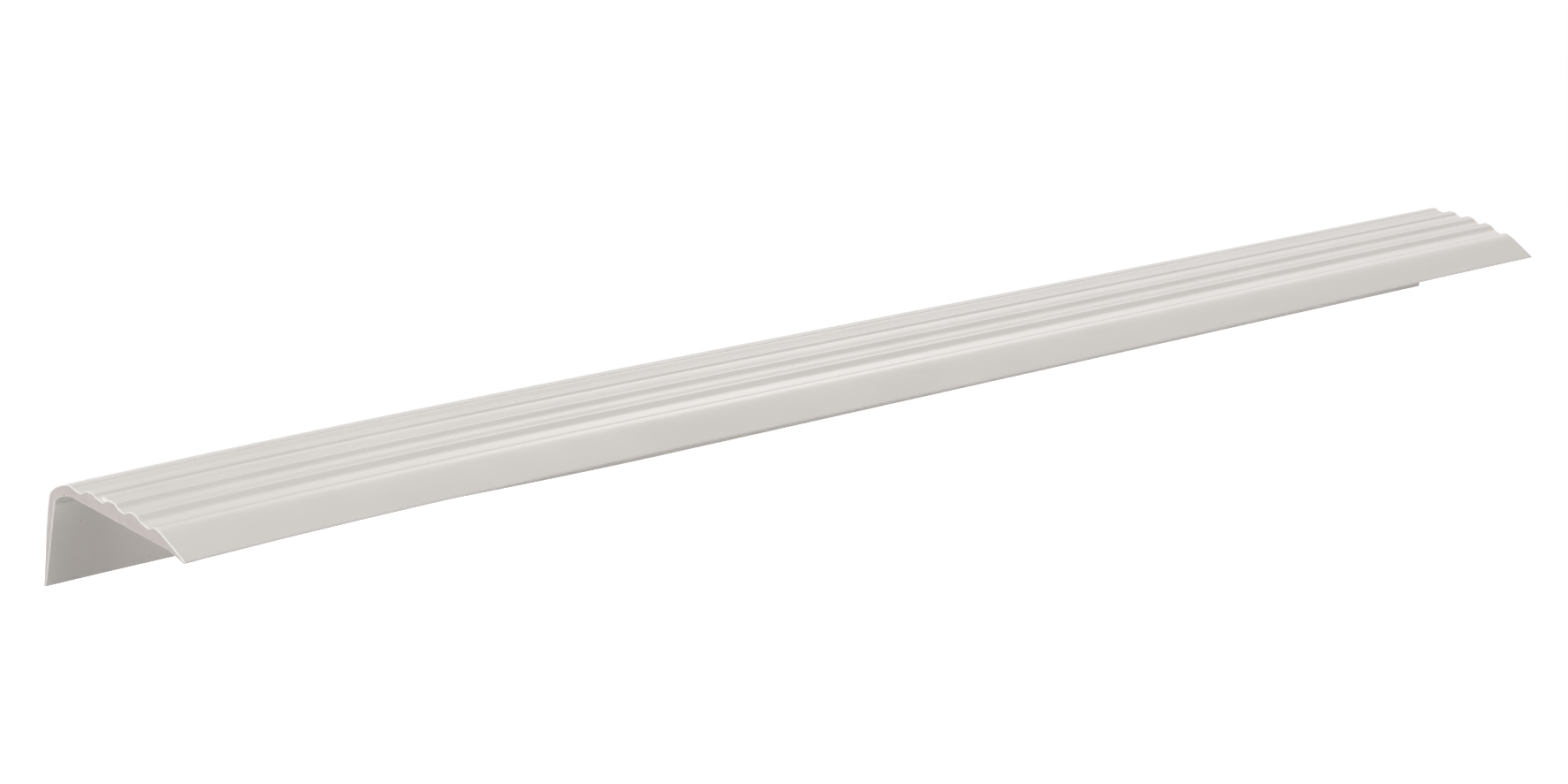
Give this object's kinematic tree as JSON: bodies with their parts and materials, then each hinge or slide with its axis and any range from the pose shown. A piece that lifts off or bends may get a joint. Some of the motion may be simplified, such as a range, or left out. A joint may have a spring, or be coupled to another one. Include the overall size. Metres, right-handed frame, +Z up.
{
  "type": "stair nosing",
  "caption": "Vinyl stair nosing strip: ribbed tread with a ramped lip at the back and a tapered leg that hooks over the stair's edge.",
  "frame": {"origin": "on the floor, under the middle of the strip's box", "axes": "+X along the strip's length, -Y from the leg towards the ramped lip, +Z up as the strip stands on the leg's free edge and the lip's tip"},
  "size_m": [0.9144, 0.0514, 0.0309],
  "materials": {
    "vinyl": "light warm grey soft vinyl, extruded, semi-matte, with a matte saw cut at each end"
  },
  "bodies": {
    "root": {"stair_nosing": "vinyl"}
  },
  "joints": []
}
